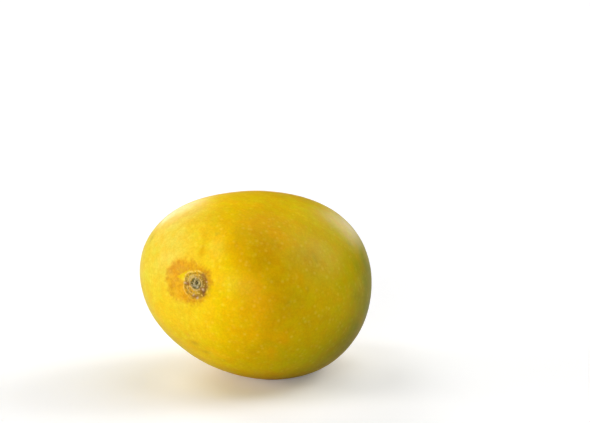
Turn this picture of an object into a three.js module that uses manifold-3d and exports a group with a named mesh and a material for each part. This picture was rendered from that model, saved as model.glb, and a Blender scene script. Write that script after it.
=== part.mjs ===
// A whole ripe mango, as picked, lying on one cheek. Millimetres, +Z up.
//
// The fruit is one solid. Its long axis lies along Y with the stalk end towards -Y, its width along X and
// its thickness along Z. It is a unit sphere pushed out to the fruit's shape, turned to the way the fruit
// lies, and cut flat at Z = 0 over the small spot that it rests on. The origin is the middle of that spot.

import * as THREE from "three";
import { mergeVertices } from "three/addons/utils/BufferGeometryUtils.js";
import Module from "manifold-3d";

// Driving dimensions of the fruit.
const LENGTH = 95; // stalk end to tip
const WIDTH = 80; // shoulder to shoulder, before the taper
const THICKNESS = 67; // cheek to cheek, before the taper
const FULLNESS = 0.01; // how far it swells past a plain ellipsoid between its axes
const WIDTH_TAPER = 0.13; // share by which the width grows at the stalk end and shrinks at the tip
const THICKNESS_TAPER = 0.02; // the same for the thickness
const BLUNTNESS = 0.07; // share by which the thickness is held up near both ends
const BOW = 4.8; // how far the middle stands to +X of the two ends
const BELLY = 3.6; // how far the middle hangs below the two ends

// The beak, a low swelling on the tip where the flower's style stood.
const BEAK = { across: 0.3, up: 0.05, radius: 9, height: 1 };

// The scar where the stalk broke off, a little off the long axis: a shallow dish inside a low lip.
const SCAR = { across: 0.118, up: 0.029 };
const DISH = { radius: 3.9, depth: 0.7, slope: 1.8 }; // slope: how wide the dish's side is
const LIP = { radius: 4.9, height: 0.3, halfWidth: 1.1 };

// How the fruit lies: the stalk end a little raised, the fruit rolled to +X, the spot below pressed flat.
const STALK_END_UP = THREE.MathUtils.degToRad(6.2);
const ROLL = THREE.MathUtils.degToRad(14.5);
const FLAT_DEPTH = 1; // how much of the round underside the flat spot takes away

// The mesh: segments round the scar, and rings from the scar to the far side, closer over the scar.
const SEGMENTS = 72;
const SCAR_RINGS = 10;
const BODY_RINGS = 34;
const SCAR_ANGLE = 0.19; // radians of the unit sphere that the scar's rings cover

// A direction a little off the long axis, at the stalk end (-1) or at the tip (+1).
function endDirection({ across, up }, end) {
  return new THREE.Vector3(across, end * Math.sqrt(1 - across ** 2 - up ** 2), up);
}

const scarDirection = endDirection(SCAR, -1);
const beakDirection = endDirection(BEAK, 1);

// A unit sphere made as a lathe whose rings crowd round its first pole, which is turned to the scar.
function sphereRoundScar() {
  const rings = SCAR_RINGS + BODY_RINGS;
  const profile = [];
  for (let ring = 0; ring <= rings; ring++) {
    const overScar = Math.min(ring / SCAR_RINGS, 1) * SCAR_ANGLE;
    const past = (Math.max(ring - SCAR_RINGS, 0) / BODY_RINGS) * (Math.PI - SCAR_ANGLE);
    const isPole = ring === 0 || ring === rings;
    profile.push(new THREE.Vector2(isPole ? 0 : Math.sin(overScar + past), -Math.cos(overScar + past)));
  }
  const turn = new THREE.Quaternion().setFromUnitVectors(new THREE.Vector3(0, -1, 0), scarDirection);
  return new THREE.LatheGeometry(profile, SEGMENTS).applyQuaternion(turn);
}

// The skin's place in the direction d of the unit sphere, without the beak and the scar.
function bodyPoint(d) {
  const toStalk = -d.y;
  const [along, across, up] = [d.y ** 2, d.x ** 2, d.z ** 2];
  const full = 1 + 4 * FULLNESS * (along * across + across * up + up * along);
  const wide = 1 + WIDTH_TAPER * toStalk;
  const thick = 1 + THICKNESS_TAPER * toStalk + BLUNTNESS * along;
  return new THREE.Vector3(
    (WIDTH / 2) * d.x * full * wide + BOW * (1 - along),
    (LENGTH / 2) * d.y * full,
    (THICKNESS / 2) * d.z * full * thick - BELLY * (1 - along),
  );
}

// The body's outward normal in the direction d, from a short step to each side of it.
function bodyNormal(d) {
  const step = 1e-3;
  const side = new THREE.Vector3(1, 0, 0).cross(d).normalize();
  const rise = new THREE.Vector3().crossVectors(d, side);
  const stepped = (way, length) => bodyPoint(d.clone().addScaledVector(way, length).normalize());
  const slope = (way) => stepped(way, step).sub(stepped(way, -step));
  return slope(side).cross(slope(rise)).normalize();
}

// A smooth rise, 1 at distance 0 and almost 0 from twice its radius on.
function swelling(distance, radius) {
  return Math.exp(-((distance / radius) ** 2));
}

// How far the skin stands out at a distance from the scar's middle: sunk in the dish, raised on the lip.
function scarRelief(distance) {
  const floor = DISH.radius - DISH.slope / 2;
  const sunk = 1 - THREE.MathUtils.smoothstep(distance, floor, floor + DISH.slope);
  return LIP.height * swelling(distance - LIP.radius, LIP.halfWidth) - DISH.depth * sunk;
}

// The whole fruit in its own frame, before it is laid down.
function fruitGeometry() {
  const scar = { middle: bodyPoint(scarDirection), out: bodyNormal(scarDirection) };
  const beak = { middle: bodyPoint(beakDirection), out: bodyNormal(beakDirection) };
  const geometry = sphereRoundScar();
  const corners = geometry.getAttribute("position");
  const d = new THREE.Vector3();
  for (let i = 0; i < corners.count; i++) {
    const p = bodyPoint(d.fromBufferAttribute(corners, i).normalize());
    const relief = scarRelief(p.distanceTo(scar.middle));
    const swell = BEAK.height * swelling(p.distanceTo(beak.middle), BEAK.radius);
    p.addScaledVector(scar.out, relief).addScaledVector(beak.out, swell);
    corners.setXYZ(i, p.x, p.y, p.z);
  }
  return geometry;
}

// Turns the fruit to the way it lies, with its lowest point FLAT_DEPTH below Z = 0.
function lieDown(geometry) {
  geometry.applyMatrix4(new THREE.Matrix4().makeRotationFromEuler(new THREE.Euler(-STALK_END_UP, ROLL, 0)));
  geometry.computeBoundingBox();
  return geometry.translate(0, 0, -geometry.boundingBox.min.z - FLAT_DEPTH);
}

// A closed three.js geometry as a manifold-3d solid.
function toSolid(wasm, geometry) {
  geometry.deleteAttribute("normal");
  geometry.deleteAttribute("uv");
  const merged = mergeVertices(geometry, 1e-4);
  const vertProperties = merged.getAttribute("position").array;
  const triVerts = new Uint32Array(merged.index.array);
  return new wasm.Manifold(new wasm.Mesh({ numProp: 3, vertProperties, triVerts }));
}

// A manifold-3d solid as a three.js geometry.
function toGeometry(solid) {
  const { vertProperties, triVerts } = solid.getMesh();
  const geometry = new THREE.BufferGeometry();
  geometry.setAttribute("position", new THREE.BufferAttribute(vertProperties, 3));
  geometry.setIndex(new THREE.BufferAttribute(triVerts, 1));
  geometry.computeVertexNormals();
  return geometry;
}

// Moves the fruit along X and Y so that the middle of its flat spot is over the origin.
function centreOverFlat(geometry) {
  const corners = geometry.getAttribute("position");
  const flat = new THREE.Box3();
  const p = new THREE.Vector3();
  for (let i = 0; i < corners.count; i++) {
    if (p.fromBufferAttribute(corners, i).z < 1e-4) flat.expandByPoint(p);
  }
  const middle = flat.getCenter(new THREE.Vector3());
  return geometry.translate(-middle.x, -middle.y, 0);
}

// The fruit with everything below Z = 0 cut away.
async function mangoGeometry() {
  const wasm = await Module();
  wasm.setup();
  const ground = new THREE.BoxGeometry(2 * LENGTH, 2 * LENGTH, LENGTH).translate(0, 0, -LENGTH / 2);
  const whole = toSolid(wasm, lieDown(fruitGeometry()));
  return centreOverFlat(toGeometry(whole.subtract(toSolid(wasm, ground))));
}

const skin = new THREE.MeshStandardMaterial({ color: 0xceab16, roughness: 0.42, metalness: 0 });
const mango = new THREE.Mesh(await mangoGeometry(), skin);
mango.name = "mango";

const fruit = new THREE.Group();
fruit.add(mango);

export default fruit;
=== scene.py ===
"""A ripe yellow mango lying on one cheek on a pale floor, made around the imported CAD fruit.

Lengths are in metres, or in millimetres where a comment says so, in the CAD part's frame: +Z up,
the stalk end towards -Y, the origin in the middle of the flat spot that the fruit rests on.
Directions round the fruit are in degrees from -Y towards +X, and colours are sRGB from 0 to 255.
"""

import math

import bpy
import numpy as np
from mathutils import Matrix, Vector, noise


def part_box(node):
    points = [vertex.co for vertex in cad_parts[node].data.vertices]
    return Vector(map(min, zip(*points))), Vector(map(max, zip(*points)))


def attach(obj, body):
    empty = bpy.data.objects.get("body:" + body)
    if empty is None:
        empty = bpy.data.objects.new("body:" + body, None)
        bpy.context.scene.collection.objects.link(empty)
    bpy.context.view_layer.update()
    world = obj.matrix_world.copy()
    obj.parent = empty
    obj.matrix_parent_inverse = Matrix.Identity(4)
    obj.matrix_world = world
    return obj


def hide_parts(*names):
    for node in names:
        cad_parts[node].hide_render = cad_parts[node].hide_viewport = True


MM = 0.001

# The body of the fruit, as in the CAD part.
LENGTH = 95 * MM
WIDTH = 80 * MM
THICKNESS = 67 * MM
FULLNESS = 0.01  # how far it swells past a plain ellipsoid between its axes
WIDTH_TAPER = 0.13  # share by which the width grows at the stalk end and shrinks at the tip
THICKNESS_TAPER = 0.02
BLUNTNESS = 0.07  # share by which the thickness is held up near both ends
BOW = 4.8 * MM  # how far the middle stands to +X of the two ends
BELLY = 3.6 * MM  # how far the middle hangs below the two ends
STALK_END_UP = math.radians(6.2)
ROLL = math.radians(14.5)

# Where the scar and the beak sit: how far off the long axis, on the unit sphere.
SCAR_AT = {"across": 0.118, "up": 0.029}
BEAK_AT = {"across": 0.3, "up": 0.05}
BEAK_RADIUS = 9 * MM
BEAK_HEIGHT = 1 * MM
DIMPLE_RADIUS = 2.4 * MM
DIMPLE_DEPTH = 0.5 * MM

# Low swells all over the skin: how wide and how high.
SWELLS = [(14 * MM, 0.16 * MM), (5 * MM, 0.035 * MM)]

# The mesh: rings from the scar's pole to the far pole, closest over the scar, and corners on each.
RINGS = 280
SEGMENTS = 340
SCAR_CLOSENESS = 0.12  # how wide the first ring is, as a share of an even one

# The map that finishes are baked to: a disc for the scar's half and one for the other, as shares
# of the map's side.
DISC_RADIUS = 0.29
DISC_STRETCH = 0.8  # under 1, it gives the disc's middle more room
DISC_MARGIN = 0.003

# The scar, in millimetres on the skin: across and up from the scar's middle, and sizes. It is a
# dish with a raised lip, and in it a ring round a core, whose oval eye has a pit in it. Crumbs of
# cork lie round its edge, and pale spots on the edges of some of them are painted highlights.
SCAR_REACH = 25  # no part of the scar or its halo is further out
FAR_AWAY = 1000  # where the skin past that counts as being, so that nothing is put on it
DISH = {"floor": 3.3, "rim": 4.8, "depth": 0.6}
LIP = {"across": 0.2, "up": -0.7, "radius": 5.05, "height": 0.22, "half_width": 0.7}
RING = {"across": -0.2, "up": 0.0, "radius": 2.5, "height": 0.3, "half_width": 0.5}
CRESCENT = {"across": 0.0, "up": 0.0, "radius": 1.7, "half_width": 0.4}
EYE = {"across": 0.15, "up": 0.05, "half_width": 0.95, "half_height": 1.5, "height": 0.12}
EYE_LINE = 0.25  # the half width of the line round the eye
PIT = {"across": 0.2, "up": 0.15, "half_width": 0.3, "half_height": 0.62, "depth": 0.6}
CRUMBS = [
    {"across": -3.4, "up": -0.35, "radius": 0.85, "height": 0.35, "dark": 0.6},
    {"across": 3.9, "up": 1.35, "radius": 0.7, "height": 0.3, "dark": 0.6},
    {"across": 3.4, "up": 2.2, "radius": 0.5, "height": 0.2, "dark": 0.3},
    {"across": 2.8, "up": 3.2, "radius": 0.85, "height": 0.25, "dark": 0.4},
    {"across": 4.2, "up": -1.05, "radius": 0.75, "height": 0.35, "dark": 0.6},
    {"across": 3.1, "up": -2.7, "radius": 0.95, "height": 0.45, "dark": 1.0},
    {"across": 3.4, "up": -3.8, "radius": 0.55, "height": 0.25, "dark": 0.8},
    {"across": 2.1, "up": -1.8, "radius": 0.6, "height": 0.1, "dark": 0.5},
    {"across": 0.5, "up": -4.8, "radius": 0.7, "height": 0.3, "dark": 0.6},
    {"across": -0.8, "up": -4.6, "radius": 0.65, "height": 0.3, "dark": 0.6},
]
# Pale spots on the edges of crumbs: painted highlights.
CRUMB_HIGHLIGHTS = [
    {"across": -4.2, "up": -0.25, "radius": 0.35},
    {"across": 2.7, "up": -2.0, "radius": 0.4},
    {"across": -1.0, "up": -4.3, "radius": 0.35},
    {"across": 0.8, "up": -5.1, "radius": 0.35},
    {"across": 4.4, "up": 0.9, "radius": 0.3},
]

# The corky halo round the scar: degrees from across towards up, and millimetres to its edge. The
# notch is a wedge of clean skin from its tip to the top and bottom of its wide end.
HALO = {"across": -3.0, "up": 0.0}
HALO_OUTLINE = [
    (3, 9.0),
    (36, 8.8),
    (67, 7.2),
    (119, 8.6),
    (144, 10.3),
    (176, 10.2),
    (215, 9.6),
    (253, 7.6),
    (293, 7.9),
]
NOTCH = {"across": -8.6, "up": 1.5, "length": 4.0, "top": 3.7, "bottom": 0.1}
CORNER = {"across": -8.0, "up": 4.5, "radius": 4}  # the darkest part of the halo

# The scar's colours, from the halo inwards.
HALO_TINT = (232, 168, 26)
STREAK_TINT = (204, 130, 20)
CORNER_TINT = (220, 150, 38)
NOTCH_TINT = (236, 196, 10)
# The dish's tints are partly painted shade, the right one most.
DISH_TINTS = {
    "left": (212, 166, 44),
    "right": (136, 100, 32),
    "olive grains": (146, 114, 24),
    "pale grains": (232, 198, 100),
    "brown grains": (140, 86, 36),
}
# The lip's lighter lines are painted highlight and its darker lines painted shade.
LIP_TINTS = {
    "crest_highlight": (250, 218, 100),
    "first shade line": (150, 118, 34),
    "highlight line": (244, 214, 116),
    "second shade line": (150, 118, 44),
}
CORE_TINTS = {
    "middle": (138, 125, 66),
    "dark grains": (88, 82, 32),
    "pale grains": (194, 178, 124),
    "crescent": (88, 80, 32),
}
RING_TINT = (216, 190, 122)
EYE_TINT = (210, 193, 146)
PIT_TINT = (52, 42, 46)
LIGHT_CRUMB_TINT = (196, 130, 50)
DARK_CRUMB_TINT = (114, 70, 30)
# painted highlight on the crumbs
CRUMB_HIGHLIGHT_TINT = (236, 202, 150)

# The skin's ground colour, along a level line through the fruit: millimetres from its middle.
GROUND_AZIMUTH = 123
# The whitish tinge of the first two stops is partly painted highlight, and the dark last two stops
# are partly painted shade.
GROUND = [
    (-43, (230, 203, 50)),
    (-31, (237, 203, 44)),
    (-17, (248, 204, 8)),
    (1, (229, 174, 1)),
    (13, (214, 174, 1)),
    (26, (206, 175, 2)),
    (34, (175, 156, 2)),
    (44, (112, 122, 4)),
]

# Patches and marks: degrees round and up to each on the unit sphere, its half width and half
# height in millimetres, its colour, and how well it covers the ground.
# Some of them are painted highlight, sheen, light and shade, as noted beside them.
MARKS = [
    {"at": (-13, 17), "size": (6, 7), "tint": (240, 208, 74), "cover": 0.5},  # pale by the scar
    {"at": (-34, 27), "size": (13, 11), "tint": (246, 210, 96), "cover": 0.4},  # pale left flank, partly painted highlight
    {"at": (9, 25), "size": (3.2, 5), "tint": (252, 214, 60), "cover": 0.6},  # lemon stripe
    {"at": (3, 20), "size": (1.2, 3.5), "tint": (234, 164, 12), "cover": 0.6},  # thin streaks
    {"at": (-1, 29), "size": (1.6, 3.5), "tint": (236, 182, 16), "cover": 0.5},
    {"at": (17, 31), "size": (3, 4), "tint": (232, 160, 4), "cover": 0.45},  # golden band
    {"at": (14, 58), "size": (8, 6), "tint": (224, 164, 1), "cover": 0.4},  # golden crown
    {"at": (-6, 45), "size": (11, 8), "tint": (220, 174, 4), "cover": 0.5},
    # The next two are painted light: the top made lighter, as by yellow light reflected from
    # above.
    {"at": (60, 80), "size": (16, 9), "tint": (236, 206, 8), "cover": 0.65},  # painted light on the top
    {"at": (-30, 74), "size": (14, 7), "tint": (240, 208, 8), "cover": 0.6},
    {"at": (22, 40), "size": (8, 9), "tint": (202, 150, 1), "cover": 0.5},  # olive gold
    {"at": (31, 37), "size": (6, 9), "tint": (188, 148, 1), "cover": 0.4},
    {"at": (31, 4), "size": (4, 12), "tint": (240, 172, 2), "cover": 0.4},  # orange middle
    {"at": (27, -12), "size": (6, 9), "tint": (226, 168, 2), "cover": 0.45},  # orange belly
    {"at": (20, 6), "size": (6, 12), "tint": (255, 212, 8), "cover": 0.6},  # brightest stretch
    {"at": (31, 27), "size": (6, 4.5), "tint": (178, 142, 2), "cover": 0.45},  # olive dusk
    {"at": (47, 12), "size": (8, 11), "tint": (188, 158, 2), "cover": 0.45},
    # The next three are painted sheen on the upper right.
    {"at": (54, 38), "size": (7, 6), "tint": (184, 152, 30), "cover": 0.5},  # painted sheen, upper right
    {"at": (66, 34), "size": (10, 8), "tint": (194, 166, 44), "cover": 0.35},
    {"at": (100, 57), "size": (10, 8), "tint": (206, 184, 30), "cover": 0.5},
    {"at": (90, -13), "size": (16, 11), "tint": (112, 110, 3), "cover": 0.5},  # green flank, partly painted shade
    {"at": (67, -33), "size": (20, 10), "tint": (150, 144, 2), "cover": 0.5},  # olive underside, partly painted shade
    {"at": (40, -27), "size": (7, 6), "tint": (196, 164, 2), "cover": 0.4},
    {"at": (-12, -27), "size": (18, 11), "tint": (248, 205, 5), "cover": 0.65},  # bright underside
    {"at": (8, -38), "size": (9, 6), "tint": (236, 188, 10), "cover": 0.5},
    {"at": (16, 32), "size": (0.5, 2.4), "tint": (200, 140, 20), "cover": 0.3},  # small blemishes
    {"at": (60, 40), "size": (0.8, 2.5), "tint": (170, 140, 30), "cover": 0.35},
    {"at": (56, 20), "size": (0.6, 1.6), "tint": (170, 140, 30), "cover": 0.35},
    {"at": (48, 10), "size": (1.2, 1.6), "tint": (165, 145, 25), "cover": 0.3},
    {"at": (-35, 12), "size": (0.8, 1.6), "tint": (165, 150, 60), "cover": 0.4},
    {"at": (4, 33), "size": (0.8, 0.8), "tint": (190, 160, 40), "cover": 0.3},
    {"at": (7, -36), "size": (1.9, 1.3), "tint": (186, 142, 44), "cover": 0.45},  # brown nicks
    {"at": (14, -40), "size": (2.2, 0.9), "tint": (190, 146, 40), "cover": 0.4},
    {"at": (25, -42), "size": (2.6, 1.0), "tint": (190, 150, 30), "cover": 0.35},
    {"at": (4, -32), "size": (0.8, 0.8), "tint": (230, 160, 70), "cover": 0.35},
    {"at": (59, -44), "size": (3, 2), "tint": (215, 150, 20), "cover": 0.4},
    {"at": (36, -48), "size": (20, 8), "tint": (244, 210, 10), "cover": 0.65},  # by the flat spot
    {"at": (60, -25), "size": (8, 6), "tint": (178, 172, 2), "cover": 0.45},  # olive lower right
    {"at": (-72, 24), "size": (15, 8), "tint": (247, 198, 16), "cover": 0.4},  # far side
    {"at": (-100, -18), "size": (12, 8), "tint": (226, 200, 60), "cover": 0.4},
    {"at": (-135, 16), "size": (9, 12), "tint": (240, 186, 20), "cover": 0.4},
    {"at": (-64, -10), "size": (0.6, 1.9), "tint": (176, 140, 52), "cover": 0.35},
    {"at": (-118, 4), "size": (1.1, 0.7), "tint": (168, 128, 48), "cover": 0.4},
    {"at": (-88, 40), "size": (0.7, 0.9), "tint": (172, 140, 56), "cover": 0.35},
    {"at": (162, 3), "size": (3.5, 3.5), "tint": (190, 160, 30), "cover": 0.4},  # the tip
    {"at": (162, 3), "size": (1.4, 1.4), "tint": (120, 84, 34), "cover": 0.85},
]

# The paint's colour where it covers nothing, which shows a little at the edge of a mark.
BARE_TINT = (236, 190, 40)

# The unevenness of the skin's colour, from noise: the size of its lumps, how many finer layers
# it has, and what red, green and blue are multiplied by where it is low and where it is high.
UNEVENNESS = [
    {"size": 6 * MM, "layers": 3, "low": (1.02, 0.97, 1), "high": (0.96, 1.01, 1)},
    {"size": 3 * MM, "layers": 2, "low": (0.99, 0.95, 0.8), "high": (1.02, 1.05, 1.3)},
    {"size": 0.7 * MM, "layers": 2, "low": (0.95, 0.95, 0.9), "high": (1.04, 1.05, 1.1)},
]
GROUND_WOBBLE = {"size": 12 * MM, "reach": 2 * MM}

# The lenticels: a dot shows where the middle of its cell nears the skin.
DOT_SPACING = 2.1 * MM  # from one cell to the next
DOT_RADIUS = 1.0 * MM
DOT_LIGHT = (0.054, 0.064, 0.02)  # what a dot adds to red, green and blue, in linear light
DOT_HEIGHT = 0.012 * MM

# The skin's pores, the cork's bark, and how rough and how bright in reflections the skin is.
PORES = {"size": 0.45 * MM, "height": 0.008 * MM}
BARK = {"size": 0.5 * MM, "height": 0.12 * MM, "layers": 4}
WAX = {"size": 9 * MM, "smoothest": 0.28, "roughest": 0.36}
CORK_ROUGHNESS = 0.3  # how much rougher than the wax
SKIN_SPECULAR = 0.03

# The camera.
CAMERA_AZIMUTH = 33.1
CAMERA_ELEVATION = 11
CAMERA_DISTANCE = 866 * MM
CAMERA_LENS = 143.2
AIM_RIGHT = 10.8 * MM  # how far the picture's middle is to the right of the fruit's
AIM_UP = 25.8 * MM

# The studio's lamps: degrees round and up from the fruit, how many degrees wide, and how strong.
LAMPS = [
    {"name": "low_front", "azimuth": 18, "elevation": 4, "spread": 40, "strength": 2.7},
    {"name": "low_left", "azimuth": -57, "elevation": 5, "spread": 30, "strength": 2.15},
    {"name": "high_left", "azimuth": -57, "elevation": 60, "spread": 30, "strength": 0.5},
    {"name": "left_back", "azimuth": -115, "elevation": 34, "spread": 30, "strength": 0.65},
    {"name": "left_rim", "azimuth": -131, "elevation": 12, "spread": 17, "strength": 0.4},
    {"name": "right", "azimuth": 145, "elevation": 34, "spread": 30, "strength": 0.85},
    {"name": "high_right", "azimuth": 145, "elevation": 60, "spread": 60, "strength": 1.1},
    {"name": "right_rim", "azimuth": 193, "elevation": 8, "spread": 14, "strength": 0.25},
]
FILL = 0.03  # how brightly the white room lights the fruit

# The floor is white to the camera. It throws less light back on the fruit than white would, as
# if other fruit stood round it.
FLOOR_BOUNCE = 0.55
FLOOR_GLOW = 0.12  # for the camera alone, so that the floor's white is as bright as the room's
FLOOR_SIZE = 12.0


def unit(vectors):
    return vectors / np.linalg.norm(vectors, axis=-1, keepdims=True)


def direction(azimuth, elevation):
    """Azimuth 0 is towards -Y and 90 towards +X, in degrees."""
    azimuth, elevation = math.radians(azimuth), math.radians(elevation)
    level = math.cos(elevation)
    return Vector((math.sin(azimuth) * level, -math.cos(azimuth) * level, math.sin(elevation)))


def smoothstep(value, low, high):
    t = np.clip((value - low) / (high - low), 0, 1)
    return t * t * (3 - 2 * t)


def swelling(distance, radius):
    """1 at distance 0 and almost 0 from twice the radius on."""
    return np.exp(-((distance / radius) ** 2))


def linear(colour):
    """The linear value of an sRGB colour."""
    share = np.array(colour) / 255
    return np.where(share <= 0.04045, share / 12.92, ((share + 0.055) / 1.055) ** 2.4)


def grain(points, size, seed):
    """Smooth noise round 0, mostly within 0.6 of it, with lumps of a size in the points' unit."""
    shift = Vector((seed * 17.3, seed * 5.1, seed * 11.7))
    return np.array([noise.noise(Vector(p) / size + shift) for p in points.tolist()])


def strong_grain(points, size, seed):
    """The same noise, mostly from -1 to 1."""
    return 1.6 * grain(points, size, seed)


# The fruit's shape


def end_direction(place, end):
    """A direction a little off the long axis, at the stalk end (-1) or at the tip (+1)."""
    across, up = place["across"], place["up"]
    return np.array([across, end * math.sqrt(1 - across**2 - up**2), up])


def body_points(d):
    """The skin's place in each direction d of the unit sphere, without the beak and the scar."""
    x, y, z = d[..., 0], d[..., 1], d[..., 2]
    along, across, up = y**2, x**2, z**2
    full = 1 + 4 * FULLNESS * (along * across + across * up + up * along)
    wide = 1 - WIDTH_TAPER * y
    thick = 1 - THICKNESS_TAPER * y + BLUNTNESS * along
    return np.stack(
        [
            WIDTH / 2 * x * full * wide + BOW * (1 - along),
            LENGTH / 2 * y * full,
            THICKNESS / 2 * z * full * thick - BELLY * (1 - along),
        ],
        axis=-1,
    )


def body_normal(d):
    """The body's outward normal in the direction d, from a short step to each side of it."""
    step = 1e-3
    side = unit(np.cross([1, 0, 0], d))
    rise = np.cross(d, side)

    def slope(way):
        return body_points(unit(d + step * way)) - body_points(unit(d - step * way))

    return unit(np.cross(slope(side), slope(rise)))


def lie_down(points):
    """Turns points of the fruit's own frame to the way that the fruit lies."""
    turn = Matrix.Rotation(-STALK_END_UP, 3, "X") @ Matrix.Rotation(ROLL, 3, "Y")
    return points @ np.array(turn).T


def place_in_frame(points):
    """Moves the lying fruit to where the CAD fruit is, pressed flat where it rests."""
    low, high = (np.array(corner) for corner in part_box("mango"))
    middle = (points.min(axis=0) + points.max(axis=0)) / 2
    shift = (low + high) / 2 - middle
    shift[2] = high[2] - points[:, 2].max()
    points = points + shift
    points[:, 2] = np.maximum(points[:, 2], 0)
    return points


# The sphere that the fruit is made from


def ring_angles():
    """How far each ring is from the scar's pole, both poles included."""
    t = np.linspace(0, 1, RINGS + 1)
    return math.pi * (SCAR_CLOSENESS * t + (1 - SCAR_CLOSENESS) * t**2)


def sphere_round_scar():
    """Directions in rings from the scar's pole to the far pole, which are one corner each."""
    angle = ring_angles()[1:-1]
    turn = np.linspace(0, 2 * math.pi, SEGMENTS, endpoint=False)
    pole = end_direction(SCAR_AT, -1)
    side = unit(np.cross([0, 0, 1], pole))
    rise = np.cross(pole, side)
    round_pole = np.cos(turn)[:, None] * side + np.sin(turn)[:, None] * rise
    rings = np.cos(angle)[:, None, None] * pole + np.sin(angle)[:, None, None] * round_pole
    return np.vstack([pole, rings.reshape(-1, 3), -pole])


def sphere_faces():
    """Triangles round the two poles and squares between the rings, all facing out."""
    first = 1 + SEGMENTS * np.arange(RINGS - 1)[:, None]
    ring = first + np.arange(SEGMENTS)
    after = np.roll(ring, -1, axis=1)
    last = ring[-1, -1] + 1
    near = [(0, int(a), int(b)) for a, b in zip(ring[0], after[0])]
    far = [(last, int(b), int(a)) for a, b in zip(ring[-1], after[-1])]
    squares = np.stack([ring[:-1], ring[1:], after[1:], after[:-1]], axis=-1)
    return near + squares.reshape(-1, 4).tolist() + far


# The skin seen straight on from outside one place


class SkinView:
    """Each point of the lying fruit, in millimetres across and up from one place on the skin."""

    def __init__(self, points, toward):
        toward = unit(np.array(toward))
        self.out = lie_down(body_normal(toward))
        side = unit(np.cross([0, 0, 1], self.out))
        away = (points - lie_down(body_points(toward))) / MM
        self.across = away @ side
        self.up = away @ np.cross(self.out, side)
        self.reach = np.linalg.norm(away, axis=1)

    def distance(self, part):
        return np.hypot(self.across - part["across"], self.up - part["up"])

    def oval(self, part):
        """1 on the part's oval outline."""
        wide = (self.across - part["across"]) / part["half_width"]
        return np.hypot(wide, (self.up - part["up"]) / part["half_height"])

    def degrees(self, part):
        """From 0 to 360, from across towards up."""
        return np.degrees(np.arctan2(self.up - part["up"], self.across - part["across"])) % 360


class ScarView(SkinView):
    """The skin round the scar, with the unevenness that its parts share."""

    def __init__(self, points):
        super().__init__(points, end_direction(SCAR_AT, -1))
        self.across[self.reach > SCAR_REACH] = FAR_AWAY
        self.grit = strong_grain(points, 0.4 * MM, 5)
        self.fine = strong_grain(points, 0.7 * MM, 1)
        self.coarse = strong_grain(points, 2.4 * MM, 2)
        self.fibre = self.radial_grain()
        self.lip = self.distance(LIP) - LIP["radius"] - 0.35 * self.coarse - 0.12 * self.fine
        self.ring = self.distance(RING) - RING["radius"] - 0.25 * self.coarse - 0.15 * self.fine
        self.inside = 1 - smoothstep(self.lip, -1.0, 0.0)
        self.eye = EYE["half_width"] * (self.oval(EYE) - 1) - 0.15 * self.fine

    def radial_grain(self):
        """Noise drawn out along the lines that run from the scar's middle."""
        distance = np.hypot(self.across, self.up) + 1e-6
        spread = 5 * np.stack([self.across, self.up], axis=1) / distance[:, None]
        return strong_grain(np.hstack([spread, 0.3 * distance[:, None]]), 0.6, 4)


# The scar's relief


def crumb_mask(scar, crumb):
    return swelling(scar.distance(crumb) * (1 + 0.4 * scar.fine), crumb["radius"])


def scar_relief(scar):
    """How far the skin round the scar stands out of the plain body, in metres."""
    sunk = 1 - smoothstep(scar.distance(LIP) + 0.3 * scar.coarse, DISH["floor"], DISH["rim"])
    height = -DISH["depth"] * sunk
    height += LIP["height"] * swelling(scar.lip, LIP["half_width"])
    height += RING["height"] * swelling(scar.ring, RING["half_width"]) * (1 + 0.4 * scar.fine)
    height += EYE["height"] * swelling(scar.eye, EYE_LINE)
    height -= PIT["depth"] * swelling(scar.oval(PIT), 1)
    for crumb in CRUMBS:
        height += crumb["height"] * crumb_mask(scar, crumb)
    height += 0.1 * scar.fine * scar.inside
    return height * MM


# Paint


class Paint:
    """A colour at each corner of the mesh, and how well it covers what is under it."""

    def __init__(self, count):
        self.tint = np.tile(linear(BARE_TINT), (count, 1))
        self.cover = np.zeros((count, 1))

    def brush(self, tint, mask):
        mask = np.clip(mask, 0, 1)[:, None]
        new_cover = self.cover + (1 - self.cover) * mask
        share = mask / np.maximum(new_cover, 1e-6)
        self.tint += (linear(tint) - self.tint) * share
        self.cover = new_cover

    def values(self):
        return np.hstack([self.tint, self.cover]).ravel()


def halo_mask(scar):
    """1 in the corky halo round the lip, 0 outside its uneven outline."""
    angles, radii = zip(*HALO_OUTLINE)
    outline = np.interp(scar.degrees(HALO), angles, radii, period=360)
    inside = outline - scar.distance(HALO) + 0.5 * scar.coarse + 0.4 * scar.fibre + 0.3 * scar.fine
    return smoothstep(inside, -1.4, 1.6)


def notch_mask(scar):
    """1 in the wedge of clean skin, which ends at the lip."""
    along = (scar.across - NOTCH["across"]) / NOTCH["length"]
    top = NOTCH["up"] + (NOTCH["top"] - NOTCH["up"]) * along
    bottom = NOTCH["up"] + (NOTCH["bottom"] - NOTCH["up"]) * along
    inside = smoothstep(top - scar.up, -0.1, 0.5) * smoothstep(scar.up - bottom, -0.1, 0.6)
    return inside * smoothstep(along, 0, 0.1) * smoothstep(scar.lip, 0, 0.4) * (along < 1.5)


def paint_halo(paint, scar):
    """Cork with darker streaks, darkest in one corner, and the clean wedge left free in it."""
    halo = halo_mask(scar)
    paint.brush(HALO_TINT, 0.85 * halo)
    streaks = smoothstep(0.5 * scar.coarse + 0.5 * scar.fibre + 0.5 * scar.fine, -0.5, 1.0)
    paint.brush(STREAK_TINT, 0.55 * halo * streaks)
    corner = swelling(scar.distance(CORNER), CORNER["radius"])
    paint.brush(CORNER_TINT, 0.5 * halo * corner * (1 + scar.fibre))
    paint.brush(NOTCH_TINT, 0.95 * notch_mask(scar))


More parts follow.
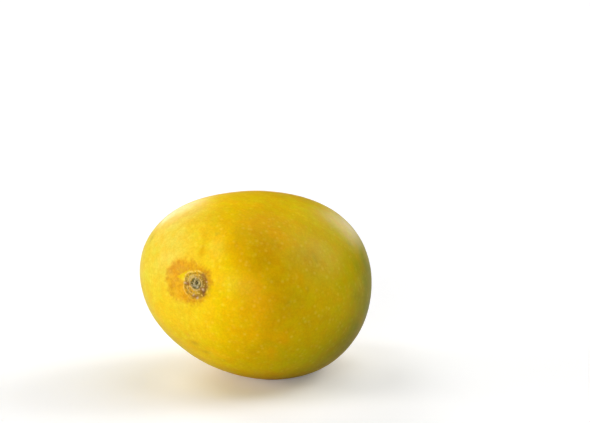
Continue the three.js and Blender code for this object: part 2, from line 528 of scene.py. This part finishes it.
def paint_dish(paint, scar):
    """The dish round the core: tan, brown on the right, and crumbly all over. Its tan and brown
    are partly painted shade, most on the right.
    """
    right = smoothstep(scar.across, -0.5, 3.0)
    olive_grains = smoothstep(scar.grit + 0.5 * scar.coarse, 0.1, 0.6)
    pale_grains = smoothstep(scar.fine - scar.grit, 0.5, 1.1)
    brown_grains = smoothstep(scar.fine + scar.grit, 0.7, 1.2)
    paint.brush(DISH_TINTS["left"], 0.9 * scar.inside)
    paint.brush(DISH_TINTS["right"], 0.8 * scar.inside * right)
    paint.brush(DISH_TINTS["olive grains"], 0.75 * scar.inside * olive_grains)
    paint.brush(DISH_TINTS["pale grains"], 0.7 * scar.inside * pale_grains)
    paint.brush(DISH_TINTS["brown grains"], 0.6 * scar.inside * brown_grains)


def paint_lip(paint, scar):
    """Thin pale and dark lines along the lip, which fade towards the lower right: painted
    highlight and painted shade.
    """
    left = smoothstep(scar.up - 1.5 * scar.across, -3, 2)
    broken = smoothstep(scar.fine + scar.grit, -0.8, 0.5)
    crest_highlight = swelling(scar.lip, 0.25) * (0.3 + 0.7 * left)
    first_shade_line = swelling(scar.lip + 0.6, 0.25) * left
    highlight_line = swelling(scar.lip + 1.15, 0.2) * left
    second_shade_line = swelling(scar.lip + 1.6, 0.2) * left
    paint.brush(LIP_TINTS["crest_highlight"], 0.8 * crest_highlight * broken)
    paint.brush(LIP_TINTS["first shade line"], 0.6 * first_shade_line * broken)
    paint.brush(LIP_TINTS["highlight line"], 0.75 * highlight_line * broken)
    paint.brush(LIP_TINTS["second shade line"], 0.6 * second_shade_line * (1 - broken))


def paint_core(paint, scar):
    """The broken ring round a grainy grey-olive core, and the pale line round its dark pit."""
    core = 1 - smoothstep(scar.ring, -0.7, -0.2)
    dark_grains = smoothstep(scar.grit - 0.4 * scar.across, 0.0, 0.5)
    pale_grains = smoothstep(scar.fine - scar.grit, 0.3, 0.9)
    lower_right = smoothstep(scar.across - scar.up, 0.5, 2.5)
    from_crescent = scar.distance(CRESCENT) - CRESCENT["radius"]
    crescent = swelling(from_crescent, CRESCENT["half_width"]) * lower_right
    unbroken = 0.25 + 0.75 * smoothstep(scar.grit + scar.fine, -0.9, 0.1)
    paint.brush(CORE_TINTS["middle"], core)
    paint.brush(CORE_TINTS["dark grains"], 0.85 * core * dark_grains)
    paint.brush(CORE_TINTS["pale grains"], 0.7 * core * pale_grains)
    paint.brush(CORE_TINTS["crescent"], 0.85 * crescent)
    paint.brush(RING_TINT, 0.85 * swelling(scar.ring, 0.3) * unbroken)
    paint.brush(EYE_TINT, 0.8 * swelling(scar.eye, EYE_LINE) * unbroken)
    paint.brush(PIT_TINT, 0.95 * swelling(scar.oval(PIT), 1))


def paint_crumbs(paint, scar):
    light, dark = np.array(LIGHT_CRUMB_TINT), np.array(DARK_CRUMB_TINT)
    for crumb in CRUMBS:
        paint.brush(light + (dark - light) * crumb["dark"], crumb_mask(scar, crumb))
    # The pale spots are painted highlights on the edges of crumbs.
    for crumb_highlight in CRUMB_HIGHLIGHTS:
        paint.brush(CRUMB_HIGHLIGHT_TINT, 0.8 * crumb_mask(scar, crumb_highlight))


def paint_marks(paint, points):
    """The patches and marks, some of them painted highlight, sheen, light and shade, in order,
    with uneven edges.
    """
    ragged = 1 + 0.4 * grain(points, 5 * MM, 3)
    for mark in MARKS:
        view = SkinView(points, direction(*mark["at"]))
        wide, high = mark["size"]
        stretched = np.hypot(view.across / wide, view.up / high) * ragged
        near = view.reach < 3 * max(wide, high)  # not on the far side, behind the mark
        paint.brush(mark["tint"], mark["cover"] * swelling(stretched, 1) * near)


# The mesh


def fruit_points(d):
    """The lying fruit's skin in each direction d, without the scar."""
    points = body_points(d)
    out = unit(points)
    beak = end_direction(BEAK_AT, 1)
    from_beak = np.linalg.norm(points - body_points(beak), axis=1)
    height = BEAK_HEIGHT * swelling(from_beak, BEAK_RADIUS)
    height -= DIMPLE_DEPTH * swelling(from_beak, DIMPLE_RADIUS)
    points += height[:, None] * body_normal(beak)
    for seed, (size, swell) in enumerate(SWELLS, start=10):
        points += swell * grain(points, size, seed)[:, None] * out
    return lie_down(points)


def painted(points, scar):
    """All the paint on the skin, from the bottom layer up."""
    paint = Paint(len(points))
    paint_marks(paint, points)
    paint_halo(paint, scar)
    paint_dish(paint, scar)
    paint_lip(paint, scar)
    paint_core(paint, scar)
    paint_crumbs(paint, scar)
    return paint


def fruit_mesh():
    points = fruit_points(sphere_round_scar())
    scar = ScarView(points)
    paint = painted(points, scar)
    cork = np.maximum(scar.inside, 0.5 * halo_mask(scar))
    points += scar_relief(scar)[:, None] * scar.out
    mesh = bpy.data.meshes.new("mango_skin")
    mesh.from_pydata(place_in_frame(points).tolist(), [], sphere_faces())
    mesh.shade_smooth()
    mesh.attributes.new("paint", "FLOAT_COLOR", "POINT").data.foreach_set("color", paint.values())
    mesh.attributes.new("cork", "FLOAT", "POINT").data.foreach_set("value", cork)
    add_bake_map(mesh)
    return mesh


def disc_places(middle, angle, turn):
    """Places on the bake map for angles from a disc's pole and turns round it."""
    radius = DISC_RADIUS * (angle / (math.pi / 2)) ** DISC_STRETCH
    return middle + radius[:, None] * np.stack([np.cos(turn), np.sin(turn)], axis=1)


def add_bake_map(mesh):
    """The two half fruits seen from their poles, in opposite corners of one map."""
    ring = np.concatenate([[0], np.repeat(np.arange(1, RINGS), SEGMENTS), [RINGS]])
    turns = np.linspace(0, 2 * math.pi, SEGMENTS, endpoint=False)
    turn = np.concatenate([[0], np.tile(turns, RINGS - 1), [0]])
    angle = ring_angles()[ring]
    near = disc_places(DISC_RADIUS + DISC_MARGIN, angle, turn)
    far = disc_places(1 - DISC_RADIUS - DISC_MARGIN, math.pi - angle, -turn)

    corners = np.zeros(len(mesh.loops), dtype=int)
    mesh.loops.foreach_get("vertex_index", corners)
    starts = np.zeros(len(mesh.polygons), dtype=int)
    mesh.polygons.foreach_get("loop_start", starts)
    sizes = np.diff(np.append(starts, len(corners)))
    furthest_ring = np.maximum.reduceat(ring[corners], starts)
    halfway_ring = np.searchsorted(ring_angles(), math.pi / 2)
    on_near = np.repeat(furthest_ring <= halfway_ring, sizes)
    places = np.where(on_near[:, None], near[corners], far[corners])
    mesh.uv_layers.new(name="OFBake").data.foreach_set("uv", places.ravel())


def add_fruit():
    fruit = bpy.data.objects.new("mango_fruit", fruit_mesh())
    bpy.context.scene.collection.objects.link(fruit)
    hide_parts("mango")
    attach(fruit, "root")
    return fruit


# Shader nodes


def add(tree, kind, inputs=None, **settings):
    """Adds a node, whose inputs are values or other nodes' outputs."""
    node = tree.nodes.new(kind)
    for name, value in settings.items():
        setattr(node, name, value)
    for name, value in (inputs or {}).items():
        if isinstance(value, bpy.types.NodeSocket):
            tree.links.new(value, node.inputs[name])
        else:
            node.inputs[name].default_value = value
    return node


def maths(tree, operation, first, second):
    return add(tree, "ShaderNodeMath", {0: first, 1: second}, operation=operation).outputs[0]


def remap(tree, value, low, high, to_low=0.0, to_high=1.0):
    """Takes low to to_low and high to to_high, smoothly and held beyond them."""
    inputs = {
        "Value": value,
        "From Min": low,
        "From Max": high,
        "To Min": to_low,
        "To Max": to_high,
    }
    node = add(tree, "ShaderNodeMapRange", inputs, interpolation_type="SMOOTHSTEP")
    return node.outputs["Result"]


def mix(tree, share, first, second, blend="MIX"):
    inputs = {0: share, 6: first, 7: second}
    return add(tree, "ShaderNodeMix", inputs, data_type="RGBA", blend_type=blend).outputs[2]


def lumps(tree, place, size, layers=2):
    """Noise round 0.5, with lumps of a size in metres and so many finer layers on them."""
    inputs = {"Vector": place, "Scale": 1 / size, "Detail": layers}
    return add(tree, "ShaderNodeTexNoise", inputs).outputs["Fac"]


def uneven(tree, place, size, low=0.0, high=1.0, layers=2):
    """The same noise, stretched to run from low to high."""
    return remap(tree, lumps(tree, place, size, layers), 0.3, 0.7, low, high)


def shade(red, green, blue):
    return (red, green, blue, 1.0)


# The skin's material


def place_on_ground(tree, place):
    """How far along GROUND each place is, from 0 at its first stop to 1 at its last."""
    low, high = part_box("mango")
    axis = direction(GROUND_AZIMUTH, 0)
    middle = (low + high) / 2 @ axis
    along = add(tree, "ShaderNodeVectorMath", {0: place, 1: axis}, operation="DOT_PRODUCT")
    reach = GROUND_WOBBLE["reach"]
    wobble = uneven(tree, place, GROUND_WOBBLE["size"], -reach, reach)
    inputs = {
        "Value": maths(tree, "ADD", along.outputs["Value"], wobble),
        "From Min": middle + GROUND[0][0] * MM,
        "From Max": middle + GROUND[-1][0] * MM,
    }
    return add(tree, "ShaderNodeMapRange", inputs).outputs["Result"]


def ground_colour(tree, place):
    """Lemon on the left flank, golden past the scar, and olive to green on the right flank. The
    lemon's whitish tinge is partly painted highlight and the dark right end partly painted shade.
    """
    node = add(tree, "ShaderNodeValToRGB", {"Fac": place_on_ground(tree, place)})
    node.color_ramp.interpolation = "CARDINAL"
    stops = node.color_ramp.elements
    first, last = GROUND[0][0], GROUND[-1][0]
    for position, _ in GROUND[1:-1]:
        stops.new((position - first) / (last - first))
    for stop, (_, tint) in zip(stops, GROUND):
        stop.color = shade(*linear(tint))
    return node.outputs["Color"]


def lenticels(tree, place):
    """Small round dots, 1 in the middle of a dot: slices of balls scattered through space."""
    cells = add(tree, "ShaderNodeTexVoronoi", {"Vector": place, "Scale": 1 / DOT_SPACING})
    radius = DOT_RADIUS / DOT_SPACING
    dot = remap(tree, cells.outputs["Distance"], radius, 0.1 * radius)
    lot = add(tree, "ShaderNodeSeparateColor", {"Color": cells.outputs["Color"]}).outputs[0]
    return maths(tree, "MULTIPLY", dot, remap(tree, lot, 0.0, 1.0, 0.4, 1.0))


def skin_tint(tree, place, dots):
    """The ground colour under the paint, uneven all over, with the lenticels on it."""
    paint = add(tree, "ShaderNodeAttribute", attribute_name="paint")
    tint = mix(tree, paint.outputs["Alpha"], ground_colour(tree, place), paint.outputs["Color"])
    for layer in UNEVENNESS:
        share = uneven(tree, place, layer["size"], layers=layer["layers"])
        factor = mix(tree, share, shade(*layer["low"]), shade(*layer["high"]))
        tint = mix(tree, 1.0, tint, factor, "MULTIPLY")
    return mix(tree, dots, tint, shade(*DOT_LIGHT), "ADD")


def skin_height(tree, place, dots, cork):
    """Pores and lenticels all over, and bark on the cork."""
    pores = maths(tree, "MULTIPLY", lumps(tree, place, PORES["size"]), PORES["height"])
    dots = maths(tree, "MULTIPLY", dots, DOT_HEIGHT)
    bark = maths(tree, "MULTIPLY", lumps(tree, place, BARK["size"], BARK["layers"]), cork)
    bark = maths(tree, "MULTIPLY", bark, BARK["height"])
    return maths(tree, "ADD", maths(tree, "ADD", pores, dots), bark)


def skin():
    material = bpy.data.materials.new("skin")
    material.use_nodes = True
    tree = material.node_tree
    place = add(tree, "ShaderNodeTexCoord").outputs["Object"]
    cork = add(tree, "ShaderNodeAttribute", attribute_name="cork").outputs["Fac"]
    dots = lenticels(tree, place)
    height = skin_height(tree, place, dots, cork)
    bump = add(tree, "ShaderNodeBump", {"Height": height, "Distance": 1.0, "Strength": 1.0})
    wax = uneven(tree, place, WAX["size"], WAX["smoothest"], WAX["roughest"])
    roughness = maths(tree, "ADD", wax, maths(tree, "MULTIPLY", cork, CORK_ROUGHNESS))

    shader = tree.nodes["Principled BSDF"]
    tree.links.new(skin_tint(tree, place, dots), shader.inputs["Base Color"])
    tree.links.new(bump.outputs["Normal"], shader.inputs["Normal"])
    tree.links.new(roughness, shader.inputs["Roughness"])
    shader.inputs["Specular IOR Level"].default_value = SKIN_SPECULAR
    return material


def floor_paint():
    """Plain white to the camera, and FLOOR_BOUNCE to all other light."""
    material = bpy.data.materials.new("floor")
    material.use_nodes = True
    tree = material.node_tree
    seen = add(tree, "ShaderNodeLightPath").outputs["Is Camera Ray"]
    dimmed = shade(FLOOR_BOUNCE, FLOOR_BOUNCE, FLOOR_BOUNCE)
    white = mix(tree, seen, dimmed, shade(1, 1, 1))
    shader = tree.nodes["Principled BSDF"]
    tree.links.new(white, shader.inputs["Base Color"])
    tree.links.new(maths(tree, "MULTIPLY", seen, FLOOR_GLOW), shader.inputs["Emission Strength"])
    shader.inputs["Roughness"].default_value = 0.8
    shader.inputs["Specular IOR Level"].default_value = 0.1
    return material


# The studio


def add_camera():
    low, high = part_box("mango")
    back = direction(CAMERA_AZIMUTH, CAMERA_ELEVATION)
    turn = back.to_track_quat("Z", "Y")
    aim = (low + high) / 2 + turn @ Vector((AIM_RIGHT, AIM_UP, 0))
    lens = bpy.data.cameras.new("camera")
    lens.lens = CAMERA_LENS
    camera = bpy.data.objects.new("camera", lens)
    camera.location = aim + CAMERA_DISTANCE * back
    camera.rotation_euler = turn.to_euler()
    bpy.context.scene.collection.objects.link(camera)
    bpy.context.scene.camera = camera


def add_lamp(name, azimuth, elevation, spread, strength):
    light = bpy.data.lights.new(name, "SUN")
    light.angle = math.radians(spread)
    light.energy = strength
    lamp = bpy.data.objects.new(name, light)
    lamp.rotation_euler = direction(azimuth, elevation).to_track_quat("Z", "Y").to_euler()
    bpy.context.scene.collection.objects.link(lamp)


def add_surroundings():
    """A room that is white to the camera and lights the fruit by FILL."""
    world = bpy.data.worlds.new("studio")
    world.use_nodes = True
    tree = world.node_tree
    seen = add(tree, "ShaderNodeLightPath").outputs["Is Camera Ray"]
    background = tree.nodes["Background"]
    background.inputs["Color"].default_value = shade(1, 1, 1)
    tree.links.new(remap(tree, seen, 0.0, 1.0, FILL, 1.0), background.inputs["Strength"])
    bpy.context.scene.world = world


def add_floor():
    half = FLOOR_SIZE / 2
    corners = [(-half, -half, 0), (half, -half, 0), (half, half, 0), (-half, half, 0)]
    mesh = bpy.data.meshes.new("floor")
    mesh.from_pydata(corners, [], [(0, 1, 2, 3)])
    mesh.materials.append(floor_paint())
    floor = bpy.data.objects.new("floor", mesh)
    bpy.context.scene.collection.objects.link(floor)


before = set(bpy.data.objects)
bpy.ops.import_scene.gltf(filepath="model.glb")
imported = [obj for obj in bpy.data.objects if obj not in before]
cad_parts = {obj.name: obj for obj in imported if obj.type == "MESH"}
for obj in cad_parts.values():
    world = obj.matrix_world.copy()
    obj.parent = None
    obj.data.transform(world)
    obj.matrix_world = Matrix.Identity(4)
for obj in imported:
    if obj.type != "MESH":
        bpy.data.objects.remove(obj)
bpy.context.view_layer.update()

fruit = add_fruit()
fruit.data.materials.append(skin())
add_camera()
for lamp in LAMPS:
    add_lamp(**lamp)
add_surroundings()
add_floor()
bpy.context.scene.view_settings.view_transform = "Standard"
